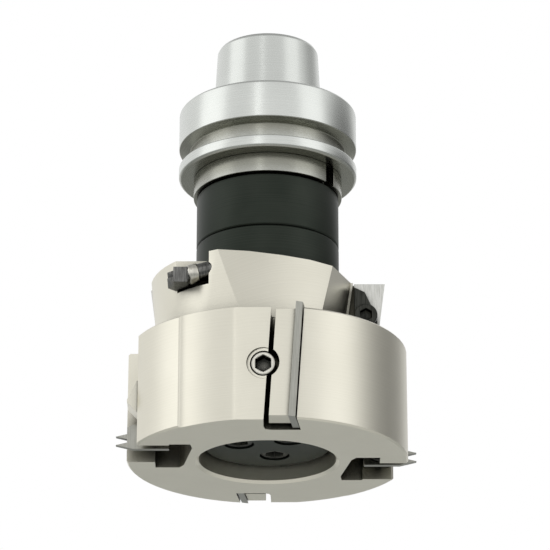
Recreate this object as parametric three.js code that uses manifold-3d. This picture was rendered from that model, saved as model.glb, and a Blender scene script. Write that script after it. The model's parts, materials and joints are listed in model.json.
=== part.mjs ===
// A stacked milling tool: an arbor with a short hollow taper carries two cutterheads, one above the other.
// Frame: millimetres, +Z up the tool axis towards the taper, origin on the axis in the bottom face.
// The front is -Y. Everything below the taper repeats after half a turn about Z.
import * as THREE from "three";
import { mergeVertices } from "three/addons/utils/BufferGeometryUtils.js";
import Module from "manifold-3d";

const wasm = await Module();
wasm.setup();

// ---------------------------------------------------------------- driving dimensions, millimetres

const gap = 0.3; // room between two pieces that touch
const facets = 72; // flats round a full circle on the large pieces
const smallFacets = 24; // flats round a screw
const past = 2; // how far a cutting shape runs past what it cuts
const socketShare = 0.6; // depth of a hexagon socket against the height of its screw's head

// the stack on the shaft, from the bottom up
const lowerHeight = 39.3;
const upperHeight = 24.9;
const shortSpacerLength = 13.0;
const longSpacerLength = 19.1;
const collarHeight = 6.9;
const flangeThickness = 25.4;
const taperLength = 24.8;

// arbor
const flangeRadius = 31.5;
const grooveBelowFace = 17.5; // gripper groove centre under the gauge face
const grooveWidth = 5.2;
const grooveDepth = 4.0;
const grooveFlank = 1.0;
const flangeChamfer = 0.8;
const taperBaseRadius = 19.25;
const taperRate = 0.05; // radius lost for each millimetre of length, a 1:10 taper
const taperChamfer = 1.1;
const mouthRadius = 14.5;
const mouthDepth = 6.5;
const clampRadius = 16.0; // undercut behind the 30 degree clamping shoulder
const clampDepth = 9.0;
const clampLength = 7.0;
const hollowRadius = 13.0;
const tubeSeatRadius = 8.5;
const tubeSeatDepth = 36.0;
const collarRadius = 26.2;
const collarSlotWidth = 5.0;
const collarSlotDepth = 4.5;
const collarSlotAngle = 33; // degrees back from +X towards the front
const shaftRadius = 20.0;
const shaftEndGap = 1.1;
const shaftChamfer = 1.0;
const tubeShoulder = 1.0; // the hollow narrows to the tube seat over twice this height

// black spacers
const spacerRadius = 25.0;
const spacerChamfer = 0.5;

// feather keys
const keyWidth = 8.0;
const keyDepth = 3.5; // in the shaft
const keyRise = 2.8; // above the shaft
const keyEndBelow = 3.0; // from the top of the upper head

// closing disc and its screws
const counterboreRadius = 23.5;
const discRecess = 5.6;
const discThickness = 9.0;
const discChamfer = 2.0;
const closingScrews = 3;
const closingCircle = 10.1;
const closingPhase = 76; // degrees from +X
const closingHeadRadius = 4.9;
const closingHeadHeight = 4.4;
const closingShankRadius = 2.8;
const closingShankLength = 20.0;
const closingSocket = 2.9;
const closingHeadSink = 0.5;

// lower head
const lowerRadius = 48.1;
const lowerChamfer = 0.6;
const mouthChamfer = 1.0;
const reliefDepth = 0.9; // chip relief ahead of each long knife
const reliefStart = 38; // degrees ahead of the slot's radial plane
const reliefBreak = 12;
const reliefRunOut = 3.5; // degrees over which the relief curves in from the rim
const reliefAtSlot = 1.9;
const reliefCurve = [0, 0.1, 0.3, 0.6]; // shares of the run-out at which its curve has a point
const reliefStep = 2; // degrees between the points of the relief's floor
const slotLean = 0.065; // sideways shift of the long slots for each millimetre of height
const slotFloor = 35.4; // distance of the slot floor from the axis
const slotWall = -1.2; // leading wall, sideways from the axis
const slotCornerAcross = 2.4; // hollow corner between the leading wall and the floor
const slotCornerDeep = 3.2;
const hook = 0.12; // sideways shift of the knife for each millimetre of depth
const rakeAtRim = 6.9; // knife's rake face at the rim, sideways from the axis
const knifeThickness = 2.3;
const knifeReach = 48.9;
const knifeBevel = 0.9;
const knifeInner = 36.4;
const knifeEndInset = 0.4; // at the bottom
const knifeStand = 1.2; // above the head
const wedgeFace = 0.5;
const wedgeOuter = 47.4;
const wedgeInner = 39.4;
const wedgeInset = 1.0;

// clamp screw of a long knife
const clampScrewTilt = 5; // degrees between its axis and the radial plane
const clampScrewRadius = 4.1;
const clampScrewLength = 6.5;
const clampScrewSide = -2.6;
const clampScrewReach = 45.9;
const clampScrewSocket = 2.6;
const clampScrewSocketDepth = 3.6;
const clampSpaceRun = 8; // how far a space for the clamp screw is open in front of the screw's face
const spotRadius = 5.5; // shallow recess round the screw, which leaves room for the wedge to back off

// side pockets of the lower head, as seen at +X: u is X, v is Y
const pocketLead = 0.6;
const pocketSeat = 18.8;
const pocketStep = 38.4; // the leading wall steps back on the axis side of this
const pocketStepBack = -5.4;
const pocketInnerEnd = [[30.2, -5.4], [28.6, -2.6], [25.3, 15.8], [25.8, 19.9]];
const pocketHeel = 2.6; // chip room beside the block's outer end
const pocketHeelRun = 2.0;
const blockInner = 33.3;
const blockOuter = 42.7;
const blockFace = 10.2;
const blockBottom = 4.5;
const blockNose = 47.4;
const blockNoseHeight = 15.5;
const blockTop = 24.0;
const blockNoseFlat = 1.0;
const blockTopRun = 1.6; // the nose falls back by this at the top
const spurThickness = 2.0;
const spurBottom = 1.7;
const spurTop = 10.4;
const spurShoulder = 47.6;
const spurTipRadius = 52.0;
const spurTipHeights = [3.1, 6.1];
const spurTipHalf = 0.9;
const spurCorner = 1.0;
const sideScrewAcross = 38.4;
const sideScrewUp = 6.2;
const smallScrewHead = 3.4;
const smallScrewHeadHeight = 1.8;
const smallScrewShank = 1.9;
const smallScrewSocket = 1.6;

// upper head
const lobeRadius = 40.6; // at the top, next to the knife
const lobeTail = 38.8; // where the lobe meets the relief face
const lobeDraft = 2.4; // the lobe is smaller by this at the bottom, next to the knife
const lobeNose = 0.5; // the lobe is this much smaller right beside the knife
const lobeNoseAngle = 5;
const lobeTailAngle = 58;
const lobeSteps = 9;
const reliefFaceTop = [[16.8, 35.0], [6.3, 33.4], [-5.3, 29.6], [-14.5, 25.4], [-22.4, 19.6]];
const reliefFaceBottom = [[8.6, 38.0], [-1.0, 36.3], [-9.0, 33.3], [-14.0, 31.0], [-17.4, 29.1]];
const seatPlane = 0.9; // the knife seat, in front of the axis
const seatInnerTop = 29.8;
const seatInnerBottom = 26.2;
const landWidth = 0.8; // narrow land that stands in front of the seat's inner end
const landRise = 2.6;
const upperKnifeInner = 30.2;
const upperKnifeHeight = 19.8;
const upperKnifeThickness = 2.0;
const upperKnifeReach = 40.9;
const upperKnifeTaper = 2.6; // the knife reaches less far at the bottom by this
const upperKnifeSink = 0.3;
const upperClampThickness = 2.2;
const upperClampOuter = 38.0;
const upperClampTip = 33.8;
const upperClampFoot = 4.0; // above the base of the upper head
const upperClampTipBelow = 4.2; // under the top of the upper head
const upperClampBelow = 2.4;
const upperScrewAcross = 34.0;
const upperScrewUp = 11.2; // above the base of the upper head
const upperScrewHead = 4.0;
const upperScrewHeadHeight = 3.0;
const upperScrewShank = 2.4;
const upperScrewLength = 13.0;
const upperScrewSocket = 2.0;
const notchWall = 19.8;
const notchDepth = 11.8;
const notchInner = 24.0;
const notchOuter = 34.0;
const shankRadius = 3.2;
const shankBack = 30.4; // its axis, in front of the tool axis
const shankBelow = 4.5; // its sunk end, under the top of the upper head
const shankSunk = 6.0;
const shankIntoClaw = 1.0;
const shankTilt = 14; // degrees by which the shank falls towards its cutting end
const clawInner = 27.0;
const clawReach = 33.8;
const clawTop = 5.8; // under the top of the upper head
const clawPitch = 2.2; // from one tip down to the next
const clawRoot = 2.0; // depth of the teeth
const clawToothHalf = 0.8;
const clawHeel = 0.6;
const grubRadius = 2.5;
const grubDepth = 3.4; // its tip, under the top of the upper head
const grubSocket = 1.3;
const grubSocketDepth = 1.2;

// ---------------------------------------------------------------- heights worked out from the stack

const upperBase = lowerHeight + gap;
const upperTop = upperBase + upperHeight;
const shortSpacerBase = upperTop + gap;
const longSpacerBase = shortSpacerBase + shortSpacerLength + gap;
const collarBase = longSpacerBase + longSpacerLength + gap;
const flangeBase = collarBase + collarHeight;
const faceHeight = flangeBase + flangeThickness;
const taperTop = faceHeight + taperLength;
const boreRadius = shaftRadius + gap;
const counterboreDepth = discRecess + discThickness + gap;
const shaftEnd = counterboreDepth + shaftEndGap;
const keyBase = shaftEnd + past;
const keyTop = upperTop - keyEndBelow;
const closingHeadFace = discRecess + closingHeadSink;
const closingSeat = closingHeadFace + closingHeadHeight;
const blockSpan = pocketSeat - gap - blockFace;
const spurFace = blockFace - gap - spurThickness;

// ---------------------------------------------------------------- shapes

const radians = THREE.MathUtils.degToRad;

// A point at a distance from the axis; the angle is in degrees from +X towards +Y.
function polar(radius, degrees) {
  return [radius * Math.cos(radians(degrees)), radius * Math.sin(radians(degrees))];
}

// The same outline turned half a turn about the axis.
function opposite(outline) {
  return outline.map(([x, y]) => [-x, -y]);
}

function shifted(outline, dx) {
  return outline.map(([x, y]) => [x + dx, y]);
}

function signedVolume(positions, index) {
  let sum = 0;
  const corner = (i) => new THREE.Vector3().fromArray(positions, 3 * index[i]);
  for (let i = 0; i < index.length; i += 3) {
    sum += corner(i).dot(corner(i + 1).cross(corner(i + 2)));
  }
  return sum / 6;
}

// A closed geometry as a solid, its faces turned outwards.
function solidOf(geometry) {
  const bare = new THREE.BufferGeometry();
  bare.setAttribute("position", geometry.getAttribute("position").clone());
  bare.setIndex(geometry.index);
  const merged = mergeVertices(bare, 1e-4);
  const positions = merged.attributes.position.array;
  const triVerts = new Uint32Array(merged.index.array);
  if (signedVolume(positions, triVerts) < 0) triVerts.reverse();
  return new wasm.Manifold(new wasm.Mesh({ numProp: 3, vertProperties: positions, triVerts }));
}

// A solid between an outline at one height and an outline with as many points at another.
function loft(low, high, z0, z1) {
  const flat = (outline) => outline.map(([x, y]) => new THREE.Vector2(x, y));
  if (THREE.ShapeUtils.isClockWise(flat(low))) return loft(low.toReversed(), high.toReversed(), z0, z1);
  const count = low.length;
  const positions = [];
  low.forEach(([x, y]) => positions.push(x, y, z0));
  high.forEach(([x, y]) => positions.push(x, y, z1));
  const index = [];
  for (let i = 0; i < count; i++) {
    const next = (i + 1) % count;
    index.push(i, next, count + next, i, count + next, count + i);
  }
  for (const [a, b, c] of THREE.ShapeUtils.triangulateShape(flat(low), [])) index.push(c, b, a);
  for (const [a, b, c] of THREE.ShapeUtils.triangulateShape(flat(high), [])) {
    index.push(count + a, count + b, count + c);
  }
  const geometry = new THREE.BufferGeometry();
  geometry.setAttribute("position", new THREE.Float32BufferAttribute(positions, 3));
  geometry.setIndex(index);
  return solidOf(geometry);
}

function prism(outline, z0, z1) {
  return loft(outline, outline, z0, z1);
}

// A prism that leans along +X as it rises; the outline is where it stands at height 0.
function leaning(outline, z0, z1) {
  return loft(shifted(outline, slotLean * z0), shifted(outline, slotLean * z1), z0, z1);
}

function block(x0, x1, y0, y1, z0, z1) {
  return prism([[x0, y0], [x1, y0], [x1, y1], [x0, y1]], z0, z1);
}

// A turned solid: the profile's points are [radius, height].
function turned(profile, flats = facets) {
  const points = profile.map(([r, z]) => new THREE.Vector2(r, z));
  return solidOf(new THREE.LatheGeometry(points, flats).rotateX(Math.PI / 2));
}

// A cylinder from a point along a direction.
function rod(radius, length, from, along, flats = smallFacets) {
  const geometry = new THREE.CylinderGeometry(radius, radius, length, flats);
  geometry.translate(0, length / 2, 0);
  geometry.applyQuaternion(new THREE.Quaternion().setFromUnitVectors(back, along.clone().normalize()));
  geometry.translate(from.x, from.y, from.z);
  return solidOf(geometry);
}

// A plate: an outline of [across, up] points in the XZ plane, from y0 to y1.
function plate(outline, y0, y1) {
  const shape = new THREE.Shape(outline.map(([x, z]) => new THREE.Vector2(x, z)));
  const geometry = new THREE.ExtrudeGeometry(shape, { depth: y1 - y0, bevelEnabled: false });
  return solidOf(geometry.rotateX(Math.PI / 2).translate(0, y1, 0));
}

function cut(solid, ...tools) {
  return tools.reduce((rest, tool) => rest.subtract(tool), solid);
}

function join(solid, ...others) {
  return others.reduce((sum, other) => sum.add(other), solid);
}

const down = new THREE.Vector3(0, 0, -1);
const back = new THREE.Vector3(0, 1, 0);
const up = new THREE.Vector3(0, 0, 1);

// A screw with a round head and a hexagon socket. The tip points along; the head's seat is at the given point.
function headedScrew(headRadius, headHeight, shankRadius, shankLength, socket, seat, along) {
  const out = along.clone().negate();
  const top = seat.clone().addScaledVector(out, headHeight);
  const shape = join(
    rod(headRadius, headHeight, seat, out),
    rod(shankRadius, shankLength + gap, seat.clone().addScaledVector(out, gap), along),
  );
  return cut(shape, rod(socket, socketShare * headHeight + past, top.clone().addScaledVector(out, past), along, 6));
}

// ---------------------------------------------------------------- looks

const finishes = {
  steel: { color: 0xc9ccc8, roughness: 0.32, metalness: 0.9 },
  nickel: { color: 0xe4e0d2, roughness: 0.38, metalness: 0.7 },
  black: { color: 0x2c312d, roughness: 0.45, metalness: 0.5 },
  carbide: { color: 0x9c9c96, roughness: 0.35, metalness: 0.8 },
  screw: { color: 0x3a3c3a, roughness: 0.4, metalness: 0.8 },
};

const tool = new THREE.Group();

function addNode(name, solid, finish, halfTurn = false) {
  const made = solid.getMesh();
  const geometry = new THREE.BufferGeometry();
  geometry.setAttribute("position", new THREE.BufferAttribute(made.vertProperties, 3));
  geometry.setIndex(new THREE.BufferAttribute(made.triVerts, 1));
  geometry.computeVertexNormals();
  const mesh = new THREE.Mesh(geometry, new THREE.MeshStandardMaterial(finishes[finish]));
  mesh.name = name;
  mesh.rotation.z = halfTurn ? Math.PI : 0;
  tool.add(mesh);
}

// A piece and its twin half a turn round.
function addPair(names, solid, finish) {
  names.forEach((name, i) => addNode(name, solid, finish, i === 1));
}

// ---------------------------------------------------------------- arbor

function arborProfile() {
  const taperTopRadius = taperBaseRadius - taperRate * taperLength;
  const grooveMiddle = faceHeight - grooveBelowFace;
  const floorRadius = flangeRadius - grooveDepth;
  return [
    [0, shaftEnd],
    [shaftRadius - shaftChamfer, shaftEnd],
    [shaftRadius, shaftEnd + shaftChamfer],
    [shaftRadius, collarBase],
    [collarRadius, collarBase],
    [collarRadius, flangeBase],
    [flangeRadius - flangeChamfer, flangeBase],
    [flangeRadius, flangeBase + flangeChamfer],
    [flangeRadius, grooveMiddle - grooveWidth / 2 - grooveFlank],
    [floorRadius, grooveMiddle - grooveWidth / 2],
    [floorRadius, grooveMiddle + grooveWidth / 2],
    [flangeRadius, grooveMiddle + grooveWidth / 2 + grooveFlank],
    [flangeRadius, faceHeight - flangeChamfer],
    [flangeRadius - flangeChamfer, faceHeight],
    [taperBaseRadius, faceHeight],
    [taperTopRadius + taperRate * taperChamfer, taperTop - taperChamfer],
    [taperTopRadius - taperChamfer / 2, taperTop],
    [mouthRadius, taperTop],
    [mouthRadius, taperTop - mouthDepth],
    [clampRadius, taperTop - clampDepth],
    [clampRadius, taperTop - clampDepth - clampLength],
    [hollowRadius, taperTop - clampDepth - clampLength - (clampRadius - hollowRadius)],
    [hollowRadius, faceHeight + tubeShoulder],
    [tubeSeatRadius, faceHeight - tubeShoulder],
    [tubeSeatRadius, taperTop - tubeSeatDepth],
    [0, taperTop - tubeSeatDepth],
  ];
}

// The slots of the collar take the pins of a wrench; both lie on one diameter.
function collarSlots() {
  const slot = block(
    collarRadius - collarSlotDepth,
    collarRadius + past,
    -collarSlotWidth / 2,
    collarSlotWidth / 2,
    collarBase - past,
    flangeBase - gap,
  );
  return [slot.rotate([0, 0, -collarSlotAngle]), slot.rotate([0, 0, 180 - collarSlotAngle])];
}

function closingPoints(z) {
  return Array.from({ length: closingScrews }, (_, i) => {
    const [x, y] = polar(closingCircle, closingPhase + (i * 360) / closingScrews);
    return new THREE.Vector3(x, y, z);
  });
}

function keySeat(room, z0, z1, outer) {
  const half = keyWidth / 2 + room;
  return block(-half, half, -outer, -(shaftRadius - keyDepth - room), z0, z1);
}

function makeArbor() {
  const taps = closingPoints(shaftEnd - past).map((point) =>
    rod(closingShankRadius + gap, closingShankLength, point, up),
  );
  const seat = keySeat(gap, keyBase - gap, keyTop + gap, shaftRadius + past);
  addNode("arbor", cut(turned(arborProfile()), ...collarSlots(), ...taps, seat, seat.rotate([0, 0, 180])), "steel");
}

function makeKeys() {
  addPair(["front_key", "back_key"], keySeat(0, keyBase, keyTop, shaftRadius + keyRise), "screw");
}

function makeSpacer(name, base, length) {
  const ring = turned([
    [boreRadius, base],
    [spacerRadius - spacerChamfer, base],
    [spacerRadius, base + spacerChamfer],
    [spacerRadius, base + length - spacerChamfer],
    [spacerRadius - spacerChamfer, base + length],
    [boreRadius, base + length],
    [boreRadius, base],
  ]);
  addNode(name, ring, "black");
}

// ---------------------------------------------------------------- closing disc

function makeClosingDisc() {
  const rim = counterboreRadius - gap;
  const top = discRecess + discThickness;
  const disc = turned([
    [0, discRecess],
    [rim - discChamfer, discRecess],
    [rim, discRecess + discChamfer],
    [rim, top],
    [0, top],
  ]);
  const holes = closingPoints(discRecess - past).map((point) =>
    rod(closingShankRadius + gap, discThickness + 2 * past, point, up),
  );
  const sinks = closingPoints(closingSeat + gap).map((point) =>
    rod(closingHeadRadius + gap, closingHeadHeight + past, point, down),
  );
  addNode("closing_disc", cut(disc, ...holes, ...sinks), "black");
  closingPoints(closingSeat).forEach((seat, i) => {
    const shape = headedScrew(
      closingHeadRadius,
      closingHeadHeight,
      closingShankRadius,
      closingShankLength,
      closingSocket,
      seat,
      up,
    );
    addNode(`closing_screw_${i + 1}`, shape, "screw");
  });
}

// ---------------------------------------------------------------- lower head

// Outlines of the front slot at height 0, seen from above, with the rim at -Y.
const rakeAt = (depth) => rakeAtRim + hook * (knifeReach - depth);
const kept = knifeThickness + gap;

const slotOutline = [
  [slotWall, -lowerRadius - past],
  [rakeAt(lowerRadius + past) + kept, -lowerRadius - past],
  [rakeAt(slotFloor) + kept, -slotFloor],
  [slotWall + slotCornerAcross, -slotFloor],
  [slotWall + slotCornerAcross / 4, -slotFloor - slotCornerDeep / 4],
  [slotWall, -slotFloor - slotCornerDeep],
];

const knifeOutline = [
  [rakeAt(knifeReach), -knifeReach],
  [rakeAt(knifeReach) + knifeThickness, -knifeReach + knifeBevel],
  [rakeAt(knifeInner) + knifeThickness, -knifeInner],
  [rakeAt(knifeInner), -knifeInner],
];

const wedgeOutline = [
  [wedgeFace, -wedgeOuter],
  [rakeAt(wedgeOuter) - gap, -wedgeOuter],
  [rakeAt(wedgeInner) - gap, -wedgeInner],
  [wedgeFace, -wedgeInner],
];

const clampInward = new THREE.Vector3(Math.sin(radians(clampScrewTilt)), Math.cos(radians(clampScrewTilt)), 0);

function clampScrewFace() {
  const height = lowerHeight / 2;
  return new THREE.Vector3(clampScrewSide + slotLean * height, -clampScrewReach, height);
}

// A round space on the clamp screw's axis, open to the outside, that ends a little behind the screw's face.
function clampSpace(radius, behindFace) {
  const start = clampScrewFace().addScaledVector(clampInward, -clampSpaceRun);
  return rod(radius, behindFace + clampSpaceRun, start, clampInward, 2 * smallFacets);
}

// What the chip relief ahead of the front slot takes off the rim. It starts with a quarter of an ellipse.
function reliefOutline() {
  const outer = [];
  const inner = [];
  const slotAngle = -90;
  const slotEnd = slotWall + slotLean * lowerHeight + gap;
  const addPoint = (a, depth) => {
    inner.push(polar(lowerRadius - depth, slotAngle - a));
    outer.unshift(polar(lowerRadius + past, slotAngle - a));
  };
  for (const share of reliefCurve) {
    addPoint(reliefStart - reliefRunOut * share, reliefDepth * Math.sqrt(1 - (1 - share) ** 2));
  }
  for (let a = reliefStart - reliefRunOut; a >= reliefBreak; a -= reliefStep) addPoint(a, reliefDepth);
  inner.push([slotEnd, -(lowerRadius - reliefAtSlot)]);
  outer.unshift([slotEnd, -(lowerRadius + past)]);
  return [...inner, ...outer];
}

// The side pocket at +X: wide at the rim, with a step in its leading wall and a slanting inner end.
const pocketOutline = [
  [lowerRadius + past, pocketLead],
  [pocketStep, pocketLead],
  [pocketStep, pocketStepBack],
  ...pocketInnerEnd,
  [blockInner - gap, pocketInnerEnd.at(-1)[1]],
  [blockInner - gap, pocketSeat],
  [blockOuter + gap, pocketSeat],
  [blockOuter + gap + pocketHeelRun, pocketSeat + pocketHeel],
  [lowerRadius + past, pocketSeat + pocketHeel],
];

function makeLowerHead() {
  const body = turned([
    [counterboreRadius + mouthChamfer, 0],
    [lowerRadius - lowerChamfer, 0],
    [lowerRadius, lowerChamfer],
    [lowerRadius, lowerHeight - lowerChamfer],
    [lowerRadius - lowerChamfer, lowerHeight],
    [boreRadius, lowerHeight],
    [boreRadius, counterboreDepth],
    [counterboreRadius, counterboreDepth],
    [counterboreRadius, mouthChamfer],
    [counterboreRadius + mouthChamfer, 0],
  ]);
  const half = [
    leaning(slotOutline, -past, lowerHeight + past),
    prism(reliefOutline(), -past, lowerHeight + past),
    prism(pocketOutline, -past, lowerHeight + past),
    clampSpace(clampScrewRadius + gap, clampScrewLength + gap),
    clampSpace(spotRadius, gap / 2),
    keySeat(gap, counterboreDepth - past, lowerHeight + past, shaftRadius + keyRise + gap),
  ];
  const cuts = half.flatMap((shape) => [shape, shape.rotate([0, 0, 180])]);
  addNode("lower_head", cut(body, ...cuts), "nickel");
}

function makeLongKnives() {
  addPair(
    ["front_knife", "back_knife"],
    leaning(knifeOutline, knifeEndInset, lowerHeight + knifeStand),
    "carbide",
  );
  const wedge = cut(
    leaning(wedgeOutline, wedgeInset, lowerHeight - wedgeInset),
    clampSpace(spotRadius, clampScrewLength + gap),
  );
  addPair(["front_wedge", "back_wedge"], wedge, "nickel");
  const face = clampScrewFace();
  const socketStart = face.clone().addScaledVector(clampInward, -past);
  const screw = cut(
    rod(clampScrewRadius, clampScrewLength, face, clampInward),
    rod(clampScrewSocket, clampScrewSocketDepth + past, socketStart, clampInward, 6),
  );
  addPair(["front_clamp_screw", "back_clamp_screw"], screw, "screw");
}

// ---------------------------------------------------------------- side pockets: block, scoring plate and screw

function makeSideSets() {
  const hole = rod(
    smallScrewShank + gap,
    blockSpan + spurThickness + 2 * past,
    new THREE.Vector3(sideScrewAcross, spurFace - past, sideScrewUp),
    back,
  );
  const blockShape = [
    [blockInner, blockBottom],
    [blockOuter, blockBottom],
    [blockOuter, spurTop],
    [blockNose, blockNoseHeight],
    [blockNose, blockNoseHeight + blockNoseFlat],
    [blockOuter + blockTopRun, blockTop - blockNoseFlat],
    [blockOuter, blockTop],
    [blockInner, blockTop],
  ];
  const reach = pocketSeat - gap;
  addPair(["right_block", "left_block"], cut(plate(blockShape, blockFace, reach), hole), "nickel");
  addPair(["right_scorer", "left_scorer"], cut(plate(scorerOutline(), spurFace, blockFace - gap), hole), "carbide");
  const screw = headedScrew(
    smallScrewHead,
    smallScrewHeadHeight,
    smallScrewShank,
    blockSpan - past,
    smallScrewSocket,
    new THREE.Vector3(sideScrewAcross, spurFace - gap, sideScrewUp),
    back,
  );
  addPair(["right_scorer_screw", "left_scorer_screw"], screw, "screw");
}

// A plate with two sharp tips on its outer end.
function scorerOutline() {
  const tip = Math.sqrt(spurTipRadius ** 2 - spurFace ** 2);
  const teeth = spurTipHeights.flatMap((z) => [
    [spurShoulder, z - spurTipHalf],
    [tip, z],
    [spurShoulder, z + spurTipHalf],
  ]);
  return [
    [blockInner, spurBottom],
    [spurShoulder - 2 * spurCorner, spurBottom],
    ...teeth,
    [spurShoulder, spurTop - spurCorner],
    [spurShoulder - 2 * spurCorner, spurTop],
    [blockInner, spurTop],
  ];
}

// ---------------------------------------------------------------- upper head

// The inner end of the knife seat: the land, and the corner behind it.
function seatLand(inner) {
  const front = -seatPlane - landRise;
  return [
    [inner - landWidth, front],
    [inner, front],
    [inner, -seatPlane],
  ];
}

// The outer curve of a lobe, which goes from one radius at the knife to another at the relief face.
function lobeArc(first, last) {
  const points = [];
  for (let i = 0; i <= lobeSteps; i++) {
    const share = i / lobeSteps;
    const angle = lobeNoseAngle + (lobeTailAngle - lobeNoseAngle) * share;
    points.push(polar(first + (last - first) * share, angle));
  }
  return points;
}

// Half of the outline: from the knife seat at +X round the lobe and along the relief face to the far gullet.
const upperTopHalf = [
  ...seatLand(seatInnerTop),
  [lobeRadius - lobeNose, -seatPlane],
  ...lobeArc(lobeRadius, lobeTail),
  ...reliefFaceTop,
];

const upperBottomHalf = [
  ...seatLand(seatInnerBottom),
  [lobeRadius - lobeDraft - lobeNose, -seatPlane],
  ...lobeArc(lobeRadius - lobeDraft, lobeTail),
  ...reliefFaceBottom,
];

const upperClampOutline = [
  [upperKnifeInner, upperBase + upperClampFoot],
  [upperClampOuter, upperBase + upperClampFoot],
  [upperClampOuter, upperBase + upperScrewUp],
  [upperClampTip, upperTop - upperClampTipBelow],
  [upperKnifeInner, upperTop - upperClampBelow],
];

function upperScrewSeat() {
  const y = -seatPlane - upperKnifeThickness - upperClampThickness - 3 * gap;
  return new THREE.Vector3(upperScrewAcross, y, upperBase + upperScrewUp);
}

// The scorer's shank lies in the notch of the front left lobe and falls a little towards its outer end.
const shankAlong = new THREE.Vector3(-Math.cos(radians(shankTilt)), 0, -Math.sin(radians(shankTilt)));

function shankStart() {
  return new THREE.Vector3(-notchWall + shankSunk, -shankBack, upperTop - shankBelow);
}

function grubStart() {
  return new THREE.Vector3(-notchWall + shankSunk / 2, -shankBack, upperTop - gap);
}

function makeUpperHead() {
  const low = [...upperBottomHalf, ...opposite(upperBottomHalf)];
  const high = [...upperTopHalf, ...opposite(upperTopHalf)];
  const roomStart = shankStart().addScaledVector(shankAlong, -gap);
  const shankRoom = rod(shankRadius + gap, shankSunk + 2 * past, roomStart, shankAlong);
  const grubRoom = rod(grubRadius + gap, grubDepth + gap + past, grubStart().setZ(upperTop + past), down);
  const half = [
    block(-notchOuter, -notchWall, -lobeRadius - past, -notchInner, upperTop - notchDepth, upperTop + past),
    shankRoom,
    grubRoom,
    rod(upperScrewShank + gap, upperScrewLength + past, upperScrewSeat(), back),
    keySeat(gap, upperBase - past, upperTop + past, shaftRadius + keyRise + gap),
  ];
  const bore = turned([
    [0, upperBase - past],
    [boreRadius, upperBase - past],
    [boreRadius, upperTop + past],
    [0, upperTop + past],
  ]);
  const cuts = half.flatMap((shape) => [shape, shape.rotate([0, 0, 180])]);
  addNode("upper_head", cut(loft(low, high, upperBase, upperTop), bore, ...cuts), "nickel");
}

function makeUpperKnives() {
  const faceY = -seatPlane - gap;
  const knifeTop = upperTop - upperKnifeSink;
  const outlineTo = (reach) => [
    [upperKnifeInner, faceY - upperKnifeThickness],
    [reach, faceY - upperKnifeThickness],
    [reach - knifeBevel, faceY],
    [upperKnifeInner, faceY],
  ];
  const [low, high] = [outlineTo(upperKnifeReach - upperKnifeTaper), outlineTo(upperKnifeReach)];
  const hole = rod(upperScrewShank + gap, 4 * past + upperKnifeThickness, upperScrewSeat(), back);
  const knife = cut(loft(low, high, knifeTop - upperKnifeHeight, knifeTop), hole);
  addPair(["right_upper_knife", "left_upper_knife"], knife, "carbide");
  const clampBack = faceY - upperKnifeThickness - gap;
  const clamp = cut(plate(upperClampOutline, clampBack - upperClampThickness, clampBack), hole);
  addPair(["right_upper_clamp", "left_upper_clamp"], clamp, "screw");
  const screw = headedScrew(
    upperScrewHead,
    upperScrewHeadHeight,
    upperScrewShank,
    upperScrewLength,
    upperScrewSocket,
    upperScrewSeat(),
    back,
  );
  addPair(["right_upper_screw", "left_upper_screw"], screw, "screw");
}

// The claw of an upper scorer: a plate with two tips, one under the other, that point outwards.
function clawOutline() {
  const top = upperTop - clawTop;
  const foot = upperTop - notchDepth + 2 * gap;
  const root = clawReach - clawRoot;
  const tips = [1, 2].flatMap((i) => [
    [-root, top - clawPitch * i + clawToothHalf],
    [-clawReach, top - clawPitch * i],
    [-root, top - clawPitch * i - clawToothHalf],
  ]);
  return [[-clawInner, top], [-root, top], ...tips, [-root + clawHeel, foot], [-clawInner, foot]];
}

// The sunk end of the shank has a flat on top, on which the grub screw presses.
function makeShank() {
  const run = clawInner - notchWall + shankSunk + shankIntoClaw;
  const shank = rod(shankRadius, run / Math.cos(radians(shankTilt)), shankStart(), shankAlong);
  const flatHeight = upperTop - grubDepth - gap;
  const inner = -notchWall + shankSunk + past;
  return cut(shank, block(-notchWall, inner, -shankBack - 2 * shankRadius, 0, flatHeight, upperTop));
}

function makeUpperScorers() {
  const claw = plate(clawOutline(), -shankBack - shankRadius, -notchInner - 2 * gap);
  addPair(["left_upper_scorer", "right_upper_scorer"], join(makeShank(), claw), "carbide");
  const socketStart = grubStart().setZ(upperTop + past);
  const grub = cut(
    rod(grubRadius, grubDepth - gap, grubStart(), down, smallFacets),
    rod(grubSocket, grubSocketDepth + past, socketStart, down, 6),
  );
  addPair(["left_grub_screw", "right_grub_screw"], grub, "screw");
}

makeArbor();
makeKeys();
makeSpacer("short_spacer", shortSpacerBase, shortSpacerLength);
makeSpacer("long_spacer", longSpacerBase, longSpacerLength);
makeClosingDisc();
makeLowerHead();
makeLongKnives();
makeSideSets();
makeUpperHead();
makeUpperKnives();
makeUpperScorers();

export default tool;
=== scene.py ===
# %% [markdown]
# # A stacked milling tool, surface by surface
# The model behind this file already has every part in its place, each with flat facets. Here those parts
# get the fine surfaces, edges and finishes that a real tool has. Everything is in metres, +Z points up the
# tool's axis towards the taper, and the tool is seen from the front, which is -Y.

# %% Load the frame
import json
import math

import bmesh
import bpy
import numpy as np
from mathutils import Matrix, Vector


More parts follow.
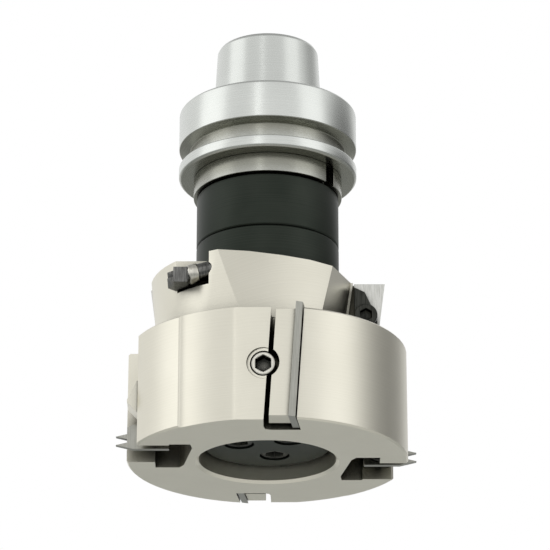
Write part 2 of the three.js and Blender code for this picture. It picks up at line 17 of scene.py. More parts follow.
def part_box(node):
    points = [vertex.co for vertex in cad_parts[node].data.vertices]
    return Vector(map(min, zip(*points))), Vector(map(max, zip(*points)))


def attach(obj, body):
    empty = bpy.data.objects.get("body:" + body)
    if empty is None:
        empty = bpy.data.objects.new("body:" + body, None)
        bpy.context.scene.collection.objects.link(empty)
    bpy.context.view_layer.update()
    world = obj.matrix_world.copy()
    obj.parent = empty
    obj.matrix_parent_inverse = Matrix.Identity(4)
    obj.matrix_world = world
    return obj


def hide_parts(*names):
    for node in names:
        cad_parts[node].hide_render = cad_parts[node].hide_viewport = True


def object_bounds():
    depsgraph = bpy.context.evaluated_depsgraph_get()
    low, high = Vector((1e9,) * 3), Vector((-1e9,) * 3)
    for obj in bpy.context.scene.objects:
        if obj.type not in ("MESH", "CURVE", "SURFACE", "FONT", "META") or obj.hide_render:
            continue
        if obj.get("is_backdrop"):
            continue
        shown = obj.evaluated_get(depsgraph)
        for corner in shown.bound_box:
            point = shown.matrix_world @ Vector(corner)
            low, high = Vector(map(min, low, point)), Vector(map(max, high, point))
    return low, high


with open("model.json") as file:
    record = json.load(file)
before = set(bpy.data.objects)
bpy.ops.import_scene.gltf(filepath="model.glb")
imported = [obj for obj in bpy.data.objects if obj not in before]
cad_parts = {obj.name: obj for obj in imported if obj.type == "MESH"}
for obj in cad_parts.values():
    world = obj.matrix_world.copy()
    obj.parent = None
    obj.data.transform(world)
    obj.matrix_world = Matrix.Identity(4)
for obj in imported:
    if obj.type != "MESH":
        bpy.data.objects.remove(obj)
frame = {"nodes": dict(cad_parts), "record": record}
cad_low, cad_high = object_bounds()
MM = 0.001
print("nodes:", len(frame["nodes"]), "size in mm:", [round(x / MM, 1) for x in cad_high - cad_low])

# %% [markdown]
# ## Camera
# A long lens flattens perspective, which is how small tools are usually shown. The camera stands below the
# tool and looks up at it, so that the cutting end shows its face. The film is `SENSOR` wide.

# %% Camera
SENSOR = 36.0
LENS = 188.2
CAMERA_PLACE = (0.0026, -0.9373, -0.3005)
CAMERA_RISE = math.radians(21.51)


def make_camera():
    """A camera at CAMERA_PLACE whose line of sight rises by CAMERA_RISE from the +Y direction."""
    lens = bpy.data.cameras.new("camera")
    lens.sensor_width = SENSOR
    lens.lens = LENS
    camera = bpy.data.objects.new("camera", lens)
    camera.location = CAMERA_PLACE
    camera.rotation_euler = (math.pi / 2 + CAMERA_RISE, 0, 0)
    bpy.context.scene.collection.objects.link(camera)
    bpy.context.scene.camera = camera


make_camera()
print("camera at", CAMERA_PLACE, "rising by", round(math.degrees(CAMERA_RISE), 1), "degrees")

# %% [markdown]
# ## Expressions for shaders
# A material is a graph of nodes, and long graphs are hard to read as code. `Wire` wraps one output, so that
# `0.3 + 0.1 * grain` adds the Math nodes by itself. `Finish` is a material being made: its `node` method
# adds any other node, with the settings first and the sockets after them.


# %% Wires
class Wire:
    """One output socket. Arithmetic on it, in either order, adds Math nodes to its tree."""

    def __init__(self, socket):
        self.socket = socket
        self.tree = socket.id_data

    def math(self, operation, *values):
        """A Math node over these values, each a number or a wire."""
        return add_node(self.tree, "ShaderNodeMath", {"operation": operation}, dict(enumerate(values)))

    def __add__(self, other):
        return self.math("ADD", self, other)

    def __radd__(self, other):
        return self.math("ADD", other, self)

    def __sub__(self, other):
        return self.math("SUBTRACT", self, other)

    def __rsub__(self, other):
        return self.math("SUBTRACT", other, self)

    def __mul__(self, other):
        return self.math("MULTIPLY", self, other)

    def __rmul__(self, other):
        return self.math("MULTIPLY", other, self)

    def __pow__(self, other):
        return self.math("POWER", self, other)

    def smooth_step(self, start, end):
        """0 below start, 1 above end, an S curve between."""
        settings = {"interpolation_type": "SMOOTHSTEP"}
        sockets = {"Value": self, "From Min": start, "From Max": end}
        return add_node(self.tree, "ShaderNodeMapRange", settings, sockets)


def add_node(tree, kind, settings=None, sockets=None, output=0):
    """Adds a node, gives it its settings, then fills its sockets with links or values."""
    node = tree.nodes.new(kind)
    for name, value in (settings or {}).items():
        setattr(node, name, value)
    for name, value in (sockets or {}).items():
        if isinstance(value, Wire):
            tree.links.new(value.socket, node.inputs[name])
        else:
            node.inputs[name].default_value = value
    return Wire(node.outputs[output])


class Finish:
    """A material with one Principled shader. Constants go straight on the shader's own sockets."""

    def __init__(self, name, **constants):
        self.material = bpy.data.materials.new(name)
        self.material.use_nodes = True
        self.tree = self.material.node_tree
        self.shader = self.tree.nodes["Principled BSDF"]
        for socket, value in constants.items():
            self.shader.inputs[socket.replace("_", " ")].default_value = value

    def node(self, kind, settings=None, sockets=None, output=0):
        """Any shader node, named without its prefix."""
        return add_node(self.tree, "ShaderNode" + kind, settings, sockets, output)

    def place(self):
        """Object coordinates: the place on the tool, in metres."""
        return self.node("TexCoord", output="Object")

    def axes(self):
        """The place as three separate wires."""
        split = self.node("SeparateXYZ", sockets={"Vector": self.place()}).socket.node
        return [Wire(out) for out in split.outputs]

    def noise(self, scale, detail=2.0, vector=None):
        """Soft blotches, about 1 / scale across."""
        sockets = {"Scale": scale, "Detail": detail, "Vector": vector or self.place()}
        return self.node("TexNoise", sockets=sockets)

    def noise_along(self, along, scale, detail=2.0):
        """Noise that changes with one value only, so it draws lines."""
        settings = {"noise_dimensions": "1D"}
        return self.node("TexNoise", settings, {"W": along, "Scale": scale, "Detail": detail})

    def blend(self, share, low, high):
        """The colour low where share is 0 and high where it is 1."""
        sockets = {0: share, 6: as_colour(low), 7: as_colour(high)}
        return self.node("Mix", {"data_type": "RGBA"}, sockets, output=2)

    def bump(self, height, distance):
        """Tilts the surface as if a height of 1 stood up by the distance."""
        return self.node("Bump", sockets={"Height": height, "Distance": distance, "Strength": 1.0})

    def openness(self, distance, skyward=False):
        """1 where nothing stands within the distance in front of the face, or above it if skyward."""
        sockets = {"Distance": distance}
        if skyward:
            sockets["Normal"] = self.node("CombineXYZ", sockets={0: 0.0, 1: 0.0, 2: 1.0})
        return self.node("AmbientOcclusion", {"samples": 8}, sockets, output=1)

    def wear(self, colour=None, roughness=None, normal=None):
        """Links what varies over the surface to the shader."""
        for socket, wire in (("Base Color", colour), ("Roughness", roughness), ("Normal", normal)):
            if wire is not None:
                self.tree.links.new(wire.socket, self.shader.inputs[socket])
        return self.material


def as_colour(value):
    """A wire as it is, or three numbers with an alpha of 1."""
    return value if isinstance(value, Wire) else (*value, 1.0)


# %% [markdown]
# ## Turned marks
# A lathe leaves rings: on a cylinder they follow each other along the axis, and on a face they follow each
# other outwards. Height plus radius changes along both, so one noise of that sum draws the rings on both.


# %% Rings of a lathe
RING = 0.35 * MM


def axis_distance(x, y):
    """The root of x squared plus y squared: how far a place is from the tool's axis."""
    return (x * x + y * y) ** 0.5


def turning(finish):
    """Height plus distance from the tool's axis."""
    x, y, z = finish.axes()
    return axis_distance(x, y) + z


print("one ring every", round(RING / MM, 2), "mm")


# %% [markdown]
# ## Painted shade
# Shade is painted into the colour where little light reaches: under the flange and round the collar, and
# in pockets and corners. Ambient occlusion measures how open a place is, so it can darken each of them by
# itself. Looking straight up in place of outwards finds what lies under an overhang. The counterbore gets
# a shorter reach than the pockets, so that only its inner corner is painted dark.

# %% Painted shade of each metal
# Colours of painted shade: near black in deep recesses, dark in steel corners and under overhangs, dark in
# the nickel's pockets.
DEEP_SHADE = (0.008, 0.009, 0.008)
CORNER_SHADE = (0.055, 0.055, 0.045)
OVERHANG_SHADE = (0.30, 0.30, 0.255)
POCKET_SHADE = (0.045, 0.043, 0.032)
BORE_WALL = (24.6 * MM, 25.2 * MM)


def steel_painted_shade(finish, bright):
    """Painted shade darkens what lies under an overhang, such as the groove and the collar, and blackens its
    corners.
    """
    corner = finish.openness(7 * MM).smooth_step(0.15, 0.65)
    shade_under = finish.blend(corner, CORNER_SHADE, OVERHANG_SHADE)
    return finish.blend(finish.openness(45 * MM, skyward=True).smooth_step(0.16, 0.42), shade_under, bright)


def nickel_painted_shade(finish, bright):
    """Painted shade darkens the pockets, but the counterbore only in its inner corner."""
    x, y, z = finish.axes()
    outside = axis_distance(x, y).smooth_step(*BORE_WALL)
    bore = finish.openness(3 * MM).smooth_step(0.05, 0.5)
    pockets = finish.openness(15 * MM).smooth_step(0.32, 0.9)
    return finish.blend(bore + outside * (pockets - bore), POCKET_SHADE, bright)


def black_painted_shade(finish, bright):
    """Painted shade darkens the corners of a blackened part."""
    return finish.blend(finish.openness(8 * MM).smooth_step(0.25, 0.92), DEEP_SHADE, bright)


# %% [markdown]
# ## Turned finishes
# The arbor is hardened steel, turned and ground to a satin gloss. The heads are nickel plated, which is a
# little warm. The spacers and the closing disc are blackened, so they shine less and their rings show more.
# All three are one recipe: rings and a slow unevenness mix two near colours, then painted shade darkens the
# result.

# %% Turned metals
def turned_metal(name, dark, light, paint_shade, roughness, swing, depth, metallic=1.0):
    """A turned metal: rings in colour, gloss and height, over a slow unevenness, darkened by its own painted
    shade.
    """
    finish = Finish(name, Metallic=metallic)
    rings = finish.noise_along(turning(finish), 1.0 / RING, 3.0)
    cloud = finish.noise(60.0, 3.0)
    share = (0.5 * rings + 0.5 * cloud).smooth_step(0.3, 0.7)
    return finish.wear(
        # Painted shade: each metal's rule darkens its hollows, corners and what lies under an overhang.
        colour=paint_shade(finish, finish.blend(share, dark, light)),
        roughness=roughness + swing * (rings - 0.5),
        normal=finish.bump(rings, depth),
    )


satin_steel = turned_metal(
    "satin steel", (0.66, 0.68, 0.65), (0.74, 0.76, 0.73), steel_painted_shade, 0.27, 0.06, 0.002 * MM
)
satin_nickel = turned_metal(
    "satin nickel", (0.77, 0.745, 0.64), (0.82, 0.795, 0.69), nickel_painted_shade, 0.36, 0.06, 0.002 * MM
)
black_oxide = turned_metal(
    "black oxide", (0.018, 0.025, 0.018), (0.032, 0.039, 0.030), black_painted_shade, 0.45, 0.12, 0.004 * MM, 0.7
)
print("turned metals:", len(bpy.data.materials))

# %% [markdown]
# ## Ground finishes
# Knives and small parts are ground, which leaves short scratches. Noise stretched along the height draws
# them. The long knives are grey carbide and the upper knives are polished. The scorers are tool steel, the
# clamps, keys and small screws are dark steel, and the wedges' screws and the scorers' rings are bright.
# Each also gets painted shade: its recesses are painted near black, and a longer reach paints deeper
# sockets dark.

# %% Ground metals
STRETCH = 0.08


def ground_metal(name, dark, light, roughness, grit, depth, reach=3 * MM):
    """A ground metal: short scratches along the height. What is deeper than the reach gets painted shade."""
    finish = Finish(name, Metallic=1.0)
    x, y, z = finish.axes()
    stretched = finish.node("CombineXYZ", sockets={0: x * grit, 1: y * grit, 2: z * (STRETCH * grit)})
    scratches = finish.noise(1.0, 4.0, stretched)
    # Painted shade: what is deeper than the reach is painted near black.
    unshaded = finish.openness(reach).smooth_step(0.25, 0.92)
    return finish.wear(
        colour=finish.blend(unshaded, DEEP_SHADE, finish.blend(scratches.smooth_step(0.3, 0.7), dark, light)),
        roughness=roughness + 0.14 * (scratches - 0.5),
        normal=finish.bump(scratches, depth),
    )


carbide = ground_metal(
    "carbide", (0.34, 0.34, 0.305), (0.41, 0.41, 0.37), 0.30, 2500.0, 0.002 * MM
)
polished_carbide = ground_metal(
    "polished carbide", (0.60, 0.60, 0.56), (0.76, 0.76, 0.72), 0.22, 2500.0, 0.003 * MM
)
tool_steel = ground_metal(
    "tool steel", (0.09, 0.09, 0.085), (0.22, 0.22, 0.21), 0.22, 2000.0, 0.002 * MM, 8 * MM
)
dark_steel = ground_metal(
    "dark steel", (0.030, 0.031, 0.027), (0.065, 0.066, 0.058), 0.36, 2000.0, 0.003 * MM
)
bright_screw = ground_metal(
    "bright screw", (0.62, 0.605, 0.54), (0.74, 0.72, 0.65), 0.30, 2000.0, 0.002 * MM, 8 * MM
)
print("finishes:", len(bpy.data.materials))

# %% [markdown]
# ## From a grid of points to a piece
# Every new surface is a grid: rows along a profile, columns round the axis. `skin` turns the grid into a
# mesh in one call, closes its seam, welds the rows that shrink to a point, and turns the faces outwards.

# %% Grid to mesh
WELD = 0.002 * MM


def skin(name, points):
    """points[j, i] is row j, column i. The columns close on themselves; neighbours make a quad."""
    rows, columns = points.shape[:2]
    corner = np.arange(rows * columns).reshape(rows, columns)
    near = corner[:-1]
    far = corner[1:]
    quads = np.stack([near, np.roll(near, -1, 1), np.roll(far, -1, 1), far], -1).reshape(-1, 4)
    mesh = bpy.data.meshes.new(name)
    mesh.from_pydata(points.reshape(-1, 3).tolist(), [], quads.tolist())
    work = bmesh.new()
    work.from_mesh(mesh)
    bmesh.ops.remove_doubles(work, verts=work.verts, dist=WELD)
    bmesh.ops.recalc_face_normals(work, faces=work.faces)
    work.to_mesh(mesh)
    work.free()
    return new_piece(name, mesh)


def new_piece(name, mesh):
    """Puts a mesh in the scene, shaded smooth."""
    piece = bpy.data.objects.new(name, mesh)
    bpy.context.scene.collection.objects.link(piece)
    mesh.shade_smooth()
    return piece


def finish_piece(piece, material, slot, body, *nodes):
    """Gives a piece its material and body, and lets it stand for its CAD nodes. The slot is not used."""
    piece.data.materials.clear()
    piece.data.materials.append(material)
    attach(piece, body)
    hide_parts(*nodes)


# %% [markdown]
# ## Rounded corners
# No real corner is perfectly sharp, and the thin highlight on a rounded one is what makes metal look like
# metal. On a profile each corner is swapped for a short curve. On a part with flat faces a Bevel modifier
# does the same job, and a Weighted Normal modifier keeps the large faces flat in the light.


# %% Profiles and edges
UNDER_HALF = 0.45
SHARP = math.radians(30)
FLAT = math.radians(1)


def eased(corners, room, steps=4):
    """Swaps each inner corner C for the curve (1-t)^2 A + 2t(1-t) C + t^2 B, where A and B lie at distance
    room from C on the two sides. Where a side is short, they stay under its middle."""
    points = np.array(corners, float)
    t = np.linspace(0, 1, steps)[:, None]
    pieces = [points[:1]]
    for before, here, after in zip(points[:-2], points[1:-1], points[2:]):
        a = before - here
        b = after - here
        long_a = np.linalg.norm(a)
        long_b = np.linalg.norm(b)
        reach = min(room, UNDER_HALF * long_a, UNDER_HALF * long_b)
        start = here + a / long_a * reach
        end = here + b / long_b * reach
        pieces.append((1 - t) ** 2 * start + 2 * t * (1 - t) * here + t**2 * end)
    pieces.append(points[-1:])
    return np.concatenate(pieces)


def soften(piece, width, segments=3):
    """Rounds the sharp edges by width and keeps the flat faces flat in the light."""
    bevel = piece.modifiers.new("rounded edges", "BEVEL")
    bevel.width = width
    bevel.segments = segments
    bevel.limit_method = "ANGLE"
    bevel.angle_limit = SHARP
    bevel.use_clamp_overlap = True
    bevel.miter_outer = "MITER_ARC"
    normals = piece.modifiers.new("flat faces", "WEIGHTED_NORMAL")
    normals.keep_sharp = True


def copied(node, width):
    """A copy of a CAD node with its triangles merged into faces and its edges rounded by width."""
    mesh = frame["nodes"][node].data.copy()
    work = bmesh.new()
    work.from_mesh(mesh)
    bmesh.ops.remove_doubles(work, verts=work.verts, dist=WELD)
    bmesh.ops.dissolve_limit(work, angle_limit=FLAT, verts=work.verts, edges=work.edges)
    work.to_mesh(mesh)
    work.free()
    piece = new_piece(node + "_fine", mesh)
    soften(piece, width)
    return piece


# %% [markdown]
# ## The arbor
# A lathe part is its profile turned once about the axis. The upper part of the profile runs from the
# shaft out over the flange with its gripper groove, up the taper and back down inside it. The hollow widens
# behind its mouth, so that the fingers of a spindle can pull on the shoulder there.

# %% Arbor
SIDES = 180
TAPER_LENGTH = 24.8 * MM
TAPER_RADIUS = 19.25 * MM
TAPER_SLOPE = 0.05
FLANGE = 25.4 * MM
FLANGE_EDGE = 0.8 * MM
GROOVE_FROM_GAUGE = 17.5 * MM
GROOVE_HALF = 2.6 * MM
GROOVE_DEPTH = 4.0 * MM
GROOVE_SPLAY = 1.0 * MM
MOUTH_RADIUS = 14.5 * MM
UNDERCUT_RADIUS = 16.0 * MM
HOLLOW_RADIUS = 13.0 * MM
TUBE_RADIUS = 8.5 * MM
TUBE_DEPTH = 36.0 * MM
COLLAR = 6.9 * MM
COLLAR_RADIUS = 26.2 * MM
SHAFT_RADIUS = 20.0 * MM
arbor_low, arbor_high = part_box("arbor")
FLANGE_RADIUS = arbor_high.x
gauge = arbor_high.z - TAPER_LENGTH
flange_base = gauge - FLANGE
collar_base = flange_base - COLLAR


def turned(name, profile, sides=SIDES):
    """Surface of revolution: (r, z) on the profile becomes (r cos a, r sin a, z), a from 0 to a full turn."""
    radius, height = np.array(profile, float).T[:, :, None]
    angle = np.linspace(0, 2 * np.pi, sides, endpoint=False)[None, :]
    points = np.stack([radius * np.cos(angle), radius * np.sin(angle), height + 0 * angle], -1)
    return skin(name, points)


def flange_profile():
    """From the flange's underside round the rim and the groove, up the taper and down the hollow."""
    groove = gauge - GROOVE_FROM_GAUGE
    floor = FLANGE_RADIUS - GROOVE_DEPTH
    tip = TAPER_RADIUS - TAPER_SLOPE * TAPER_LENGTH
    top = arbor_high.z
    outside = [
        (SHAFT_RADIUS, flange_base),
        (FLANGE_RADIUS - FLANGE_EDGE, flange_base),
        (FLANGE_RADIUS, flange_base + FLANGE_EDGE),
        (FLANGE_RADIUS, groove - GROOVE_HALF - GROOVE_SPLAY),
        (floor, groove - GROOVE_HALF),
        (floor, groove + GROOVE_HALF),
        (FLANGE_RADIUS, groove + GROOVE_HALF + GROOVE_SPLAY),
        (FLANGE_RADIUS, gauge - FLANGE_EDGE),
        (FLANGE_RADIUS - FLANGE_EDGE, gauge),
        (TAPER_RADIUS + 0.6 * MM, gauge),
        (TAPER_RADIUS, gauge + 0.5 * MM),
        (tip + 0.06 * MM, top - 1.1 * MM),
        (tip - 0.6 * MM, top),
    ]
    inside = [
        (MOUTH_RADIUS, top),
        (MOUTH_RADIUS, top - 6.5 * MM),
        (UNDERCUT_RADIUS, top - 9.0 * MM),
        (UNDERCUT_RADIUS, top - 16.0 * MM),
        (HOLLOW_RADIUS, top - 19.0 * MM),
        (HOLLOW_RADIUS, gauge + 1.0 * MM),
        (TUBE_RADIUS, gauge - 1.0 * MM),
        (TUBE_RADIUS, top - TUBE_DEPTH),
        (0, top - TUBE_DEPTH),
    ]
    return [(0, flange_base), *eased(outside + inside, 0.35 * MM)]


arbor = turned("arbor_flange", flange_profile())
finish_piece(arbor, satin_steel, "satin_steel", "tool", "arbor")
print("arbor:", len(arbor.data.vertices), "points")

# %% [markdown]
# The collar under the flange has two slots for a wrench, so it isn't quite round. Its section is worked out
# as a distance from the axis for each angle: the circle, or the slot's flat floor where that is nearer.

# %% Collar and shaft
SLOT_ANGLE = math.radians(-33)
SLOT_WIDTH = 5.0 * MM
SLOT_FLOOR = COLLAR_RADIUS - 4.5 * MM
SLOT_POINTS = 9


def slotted_circle(radius, floor, width, toward, count=240):
    """Points round a circle with a flat-floored slot at the angle `toward` and one opposite it.
    On a slot's floor the distance from the axis is floor / cos a, where a is the angle from its middle."""
    rim = math.asin(width / 2 / radius)
    foot = math.atan2(width / 2, floor)
    across = np.linspace(-foot, foot, SLOT_POINTS)
    around = np.linspace(rim, np.pi - rim, count // 2)
    half = np.concatenate([floor / np.cos(across), np.full(len(around), radius)])
    half_angle = np.concatenate([across, around])
    distance = np.tile(half, 2)
    angle = np.concatenate([half_angle, half_angle + np.pi]) + toward
    return np.stack([distance * np.cos(angle), distance * np.sin(angle)], -1)


def stacked(name, sections):
    """Rows of sections, each an outline and its height, with matching points joined."""
    rows = [np.column_stack([outline, np.full(len(outline), height)]) for outline, height in sections]
    return skin(name, np.array(rows))


def make_collar():
    """The slotted outline at the collar's foot and top, closed by rings that lead in to the shaft."""
    outer = slotted_circle(COLLAR_RADIUS, SLOT_FLOOR, SLOT_WIDTH, SLOT_ANGLE)
    inner = outer / np.linalg.norm(outer, axis=1)[:, None] * SHAFT_RADIUS
    sections = [(inner, collar_base), (outer, collar_base), (outer, flange_base), (inner, flange_base)]
    collar = stacked("arbor_collar", [*sections, sections[0]])
    soften(collar, 0.25 * MM)
    return collar


def shaft_profile():
    """A plain shaft with a chamfered foot."""
    edge = 1.0 * MM
    return [
        (0, arbor_low.z),
        (SHAFT_RADIUS - edge, arbor_low.z),
        (SHAFT_RADIUS, arbor_low.z + edge),
        (SHAFT_RADIUS, flange_base),
        (0, flange_base),
    ]


collar = make_collar()
shaft = turned("arbor_shaft", shaft_profile())
for piece in (collar, shaft):
    finish_piece(piece, satin_steel, "satin_steel", "tool", "arbor")
print("collar:", len(collar.data.vertices), "points; shaft:", len(shaft.data.vertices), "points")

# %% [markdown]
# ## Spacers
# Two blackened rings sit on the shaft between the collar and the heads. Each is the turned outline of a
# wall. On the tool they are pressed together, so both are drawn up to their seam, where only a hair of room
# is left, and the fine groove there is the room between their chamfered edges.

# %% Spacers
SEAM = (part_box("short_spacer")[1].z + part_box("long_spacer")[0].z) / 2
SEAM_GAP = 0.06 * MM
SPACER_EDGE = 0.5 * MM
BORE_ROOM = 0.3 * MM


def ring_profile(node, bore, edge):
    """The wall between the bore and the node's outside, with chamfered outer edges, up to the seam."""
    low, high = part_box(node)
    if low.z > SEAM:
        low.z = SEAM + SEAM_GAP / 2
    else:
        high.z = SEAM - SEAM_GAP / 2
    wall = [
        (bore, low.z),
        (high.x - edge, low.z),
        (high.x, low.z + edge),
        (high.x, high.z - edge),
        (high.x - edge, high.z),
        (bore, high.z),
    ]
    return [*eased(wall, 0.2 * MM), wall[0]]


for node in ("short_spacer", "long_spacer"):
    spacer = turned(node + "_fine", ring_profile(node, SHAFT_RADIUS + BORE_ROOM, SPACER_EDGE))
    finish_piece(spacer, black_oxide, "black_oxide", "tool", node)
print("spacers meet at", round(SEAM / MM, 2), "mm")

# %% [markdown]
# ## Socket screws
# All round screws here are one surface: from the middle of the socket's floor out to a hexagon, up its
# walls, over the rounded head, down the shank to the tip. The socket is what a key fits, so its edges are
# crisp and it has a small lead-in. Threads are left out, because they would lie hidden in the metal.


# %% Screws
def hexagon(flat, count):
    """Distances from the axis for `count` angles round a hexagon: flat / cos a, where flat is the distance
    of the flats and a is the angle to the middle of the nearest one."""
    angle = np.linspace(0, 2 * np.pi, count, endpoint=False)
    return flat / np.cos((angle + np.pi / 6) % (np.pi / 3) - np.pi / 6)


def screw(name, face, inward, head, shank, socket, sides=48):
    """A screw whose outer face's middle is `face` and whose tip points `inward`.
    head and shank are (radius, length), and socket is (distance of its flats, depth). Each row holds its
    distances from the axis and its depth. The head's edge is a quarter circle: its radius shrinks by
    edge (1 - sin t) while its depth grows by edge (1 - cos t)."""
    head_radius, head_length = head
    shank_radius, shank_length = shank
    flat, depth = socket
    ring = np.ones(sides)
    key = hexagon(flat, sides)
    edge = 0.12 * head_radius
    tip = head_length + shank_length
    rows = [
        (0 * ring, depth),
        (0.96 * key, depth),
        (key, depth - 0.04 * head_radius),
        (key, 0.05 * head_radius),
        (1.05 * key, 0.0),
        (1.2 * flat * ring, 0.0),
    ]
    for t in np.linspace(0, math.pi / 2, 5):
        rows.append(((head_radius - edge * (1 - math.sin(t))) * ring, edge * (1 - math.cos(t))))
    rows += [(head_radius * ring, head_length), (shank_radius * ring, head_length)]
    rows += [(shank_radius * ring, tip), (0 * ring, tip)]
    angle = np.linspace(0, 2 * np.pi, sides, endpoint=False)
    local = [np.stack([r * np.cos(angle), r * np.sin(angle), np.full(sides, d)], -1) for r, d in rows]
    turn = np.array(Vector(inward).normalized().to_track_quat("Z", "Y").to_matrix())
    return skin(name, np.array(local) @ turn.T + np.array(face))


print("screws to make:", len([node for node in frame["nodes"] if "screw" in node]))

# %% [markdown]
# ## Closing disc
# The disc under the shaft holds the stack together with three screws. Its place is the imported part's own,
# and its screws sit in their holes at the same places.

# %% Closing disc and its screws
CLOSING_HEAD = (4.9 * MM, 4.4 * MM)
CLOSING_SHANK = 2.8 * MM
CLOSING_SOCKET = (2.9 * MM, 2.6 * MM)


def middle(node):
    """The middle of a CAD node's box."""
    low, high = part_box(node)
    return (low + high) / 2


disc = copied("closing_disc", 0.2 * MM)
finish_piece(disc, black_oxide, "black_oxide", "tool", "closing_disc")
for number in (1, 2, 3):
    node = f"closing_screw_{number}"
    low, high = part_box(node)
    face = (middle(node).x, middle(node).y, low.z)
    shank = (CLOSING_SHANK, high.z - low.z - CLOSING_HEAD[1])
    piece = screw(node + "_fine", face, (0, 0, 1), CLOSING_HEAD, shank, CLOSING_SOCKET)
    finish_piece(piece, dark_steel, "dark_steel", node, node)
print("disc:", len(disc.data.vertices), "points, with three screws")

# %% [markdown]
# ## Heads, wedges, knives and blocks
# These parts are milled, with flat faces, pockets and slots. Their CAD shapes are right, so a copy of each
# has its triangles merged and its edges rounded. A milled edge is crisper on a knife than on a head. Each
# entry below gives the edge's width in millimetres, the finish and the record's name for it. A clamped
# wedge presses on its knife, so its knife side is moved nearer and leaves only a hairline.

# %% Milled parts
MILLED = {
    "lower_head": (0.35, satin_nickel, "satin_nickel"),
    "upper_head": (0.35, satin_nickel, "satin_nickel"),
    "front_wedge": (0.1, satin_nickel, "satin_nickel"),
    "back_wedge": (0.1, satin_nickel, "satin_nickel"),
    "front_knife": (0.06, carbide, "carbide"),
    "back_knife": (0.06, carbide, "carbide"),
    "right_block": (0.3, satin_nickel, "satin_nickel"),
    "left_block": (0.3, satin_nickel, "satin_nickel"),
    "right_scorer": (0.05, carbide, "carbide"),
    "left_scorer": (0.05, carbide, "carbide"),
    "right_upper_knife": (0.06, polished_carbide, "carbide"),
    "left_upper_knife": (0.06, polished_carbide, "carbide"),
    "right_upper_clamp": (0.2, dark_steel, "dark_steel"),
    "left_upper_clamp": (0.2, dark_steel, "dark_steel"),
    "right_upper_scorer": (0.06, tool_steel, "tool_steel"),
    "left_upper_scorer": (0.06, tool_steel, "tool_steel"),
    "front_key": (0.3, dark_steel, "dark_steel"),
    "back_key": (0.3, dark_steel, "dark_steel"),
}
SLOT_LEAN = 0.065
KNIFE_SIDE = 5.0 * MM
PRESSED = 0.2 * MM


def close_up(piece, turn, reach):
    """Moves the wedge's knife side by reach: the points where turn x minus the slot's lean times z is over
    KNIFE_SIDE. turn is 1 in front and -1 behind, where everything is half a turn round."""
    points = np.empty(3 * len(piece.data.vertices))
    piece.data.vertices.foreach_get("co", points)
    points = points.reshape(-1, 3)
    points[:, 0] += turn * reach * (turn * points[:, 0] - SLOT_LEAN * points[:, 2] > KNIFE_SIDE)
    piece.data.vertices.foreach_set("co", points.ravel())


body_of = {node: body for body, nodes in frame["record"]["behaviour"]["bodies"].items() for node in nodes}
for node, (edge, material, slot) in MILLED.items():
    finish_piece(copied(node, edge * MM), material, slot, body_of[node], node)
close_up(bpy.data.objects["front_wedge_fine"], 1, PRESSED)
close_up(bpy.data.objects["back_wedge_fine"], -1, PRESSED)
print("milled parts:", len(MILLED))

# %% [markdown]
# The round shank of an upper scorer carries a polished ring beside its claw. The ring is a short profile
# turned about the shank's own axis, which falls a little towards the claw. Each pair in the profile is a
# distance from that axis and a distance along it, in millimetres.

# %% Rings on the scorers' shanks
SHANK_TILT = math.radians(14)
SHANK_START = (-13.8 * MM, -30.4 * MM, 60.0 * MM)
RING_SIDES = 64
RING_PROFILE = [(3.1, 9.9), (3.3, 9.9), (3.5, 10.3), (3.5, 12.6), (3.3, 13.4), (3.1, 13.4), (3.1, 9.9)]


def shank_ring(node, turn):
    """The ring's profile turned about +Z, then laid along the shank; the twin is half a turn round."""
    ring = turned(node + "_ring_fine", np.array(RING_PROFILE) * MM, RING_SIDES)
    along = Vector((-math.cos(SHANK_TILT), 0, -math.sin(SHANK_TILT)))
    lay = Matrix.Translation(SHANK_START) @ along.to_track_quat("Z", "Y").to_matrix().to_4x4()
    ring.data.transform(Matrix.Rotation(turn, 4, "Z") @ lay)
    ring.data.materials.append(bright_screw)
    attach(ring, body_of[node])


shank_ring("left_upper_scorer", 0)
shank_ring("right_upper_scorer", math.pi)
print("ring from", RING_PROFILE[0][1], "to", RING_PROFILE[-2][1], "mm along the shank")

# %% [markdown]
# The clamp screws, the scorers' screws and the upper screws lie on their sides, and the grub screws stand
# on their tips. Each is the same surface, turned so that its tip points into the tool.

# %% Screws on their sides
CLAMP_TILT = math.radians(5)
CLAMP_HEAD = (4.1 * MM, 5.7 * MM)
CLAMP_TIP = (3.6 * MM, 0.8 * MM)
CLAMP_SOCKET = (2.6 * MM, 3.6 * MM)
SIDE_SCREWS = {
    "scorer_screw": ((3.4 * MM, 1.8 * MM), 1.9 * MM, (1.6 * MM, 1.2 * MM)),
    "upper_screw": ((4.0 * MM, 3.0 * MM), 2.4 * MM, (2.0 * MM, 2.0 * MM)),
}
GRUB_RADIUS = 2.5 * MM
GRUB_TIP = (1.9 * MM, 0.6 * MM)
GRUB_SOCKET = (1.25 * MM, 1.2 * MM)
clamp_inward = Vector((math.sin(CLAMP_TILT), math.cos(CLAMP_TILT), 0))


def clamp_screw(node, turn):
    """The bright screw that drives a wedge in, tilted a little across the slot."""
    inward = clamp_inward * turn
    face = middle(node) - inward * (CLAMP_HEAD[1] + CLAMP_TIP[1]) / 2
    piece = screw(node + "_fine", face, inward, CLAMP_HEAD, CLAMP_TIP, CLAMP_SOCKET)
    finish_piece(piece, bright_screw, "bright_screw", node, node)


def side_screw(node, turn, head, shank_radius, socket):
    """A screw that lies along Y and is as long as its CAD node."""
    low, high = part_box(node)
    length = high.y - low.y
    inward = Vector((0, turn, 0))
    shank = (shank_radius, length - head[1])
    piece = screw(node + "_fine", middle(node) - inward * length / 2, inward, head, shank, socket)
    finish_piece(piece, dark_steel, "dark_steel", node, node)


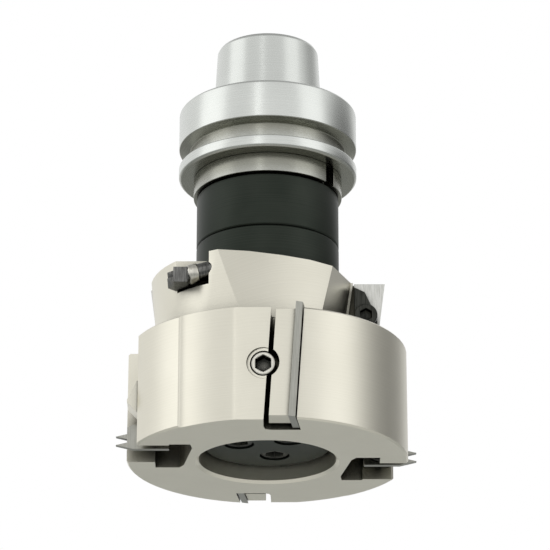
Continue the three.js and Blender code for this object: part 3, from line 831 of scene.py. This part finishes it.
def grub_screw(node):
    """A screw without a head that comes down from the upper head's top onto a scorer's shank."""
    low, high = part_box(node)
    face = (middle(node).x, middle(node).y, high.z)
    body = (GRUB_RADIUS, high.z - low.z - GRUB_TIP[1])
    piece = screw(node + "_fine", face, (0, 0, -1), body, GRUB_TIP, GRUB_SOCKET)
    finish_piece(piece, dark_steel, "dark_steel", node, node)


for side, turn in (("front", 1), ("back", -1)):
    clamp_screw(side + "_clamp_screw", turn)
for side, turn in (("right", 1), ("left", -1)):
    for kind, sizes in SIDE_SCREWS.items():
        side_screw(f"{side}_{kind}", turn, *sizes)
    grub_screw(side + "_grub_screw")

# %% [markdown]
# ## Studio
# Polished and plated metal shows what stands around it. A pale tent alone would make it flat, so a dark
# board on the right edges the round parts, and the surround is dimmer above and below. Three lamps add the
# bright bands: a large one on each side and a narrow one near the camera. The floor lies below the camera
# and is pale.


# %% Light
def world_light():
    """A surround that is seen as white, but lights the tool at a level that depends on the direction: most
    from behind the tool, less from the dark board on the right, from overhead and from below."""
    world = bpy.data.worlds.new("surround")
    bpy.context.scene.world = world
    world.use_nodes = True
    tree = world.node_tree
    place = add_node(tree, "ShaderNodeTexCoord", output="Generated")
    split = add_node(tree, "ShaderNodeSeparateXYZ", sockets={"Vector": place}).socket.node
    x, y, z = (Wire(out) for out in split.outputs)
    behind = y.smooth_step(0.2, 1.0)
    board = (0.91 * x + 0.42 * y).smooth_step(0.70, 0.97)
    overhead = z.smooth_step(0.5, 0.95)
    below = (0.0 - z).smooth_step(0.0, 0.6)
    level = (0.84 + 0.06 * behind) * (1.0 - 0.78 * board) * (1.0 - 0.5 * overhead) * (1.0 - 0.35 * below)
    seen = add_node(tree, "ShaderNodeLightPath")
    brightness = seen + (1.0 - seen) * level
    background = tree.nodes["Background"]
    tree.links.new(brightness.socket, background.inputs["Strength"])
    background.inputs["Color"].default_value = (1, 1, 1, 1)


def lamp(name, place, size, power):
    """A rectangular lamp that faces the middle of the tool."""
    light = bpy.data.lights.new(name, "AREA")
    light.shape = "RECTANGLE"
    light.size, light.size_y = size
    light.energy = power
    stand = bpy.data.objects.new(name, light)
    stand.location = place
    aim = (cad_low + cad_high) / 2 - Vector(place)
    stand.rotation_euler = aim.to_track_quat("-Z", "Y").to_euler()
    bpy.context.scene.collection.objects.link(stand)


FLOOR_RADIUS = 3.0
FLOOR_HEIGHT = -0.45


def make_floor():
    """A disc well below the camera: white paper right under the tool, and grey further out."""
    rows = [(0.0, FLOOR_HEIGHT), (FLOOR_RADIUS, FLOOR_HEIGHT)]
    floor = turned("floor", rows, 64)
    pale = Finish("pale floor", Roughness=0.9)
    x, y, z = pale.axes()
    far = (axis_distance(x, y) + 0.2 * (pale.noise(3.0, 2.0) - 0.5)).smooth_step(0.35, 0.95)
    floor.data.materials.append(pale.wear(colour=pale.blend(far, (0.92, 0.92, 0.90), (0.58, 0.60, 0.59))))
    floor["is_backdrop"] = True


bpy.context.scene.view_settings.view_transform = "Standard"
world_light()
make_floor()
lamp("left window", (-0.86, -0.23, 0.40), (0.60, 0.8), 0.75)
lamp("right window", (0.74, -0.46, 0.40), (0.50, 0.8), 0.50)
lamp("front strip", (-0.20, -0.95, 0.42), (0.07, 0.7), 0.22)
print("lamps:", len(bpy.data.lights))

# %% [markdown]
# ## Size
# The looks never change the object's size. Both boxes are measured, and how much the visual one has grown is
# printed.

# %% Measure the sizes and finish
seen_low, seen_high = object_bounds()
sizes = {"cad": [list(cad_low), list(cad_high)], "visual": [list(seen_low), list(seen_high)]}
print("grown by, in mm:", [round((a - b) / MM, 2) for a, b in zip(seen_high - seen_low, cad_high - cad_low)])
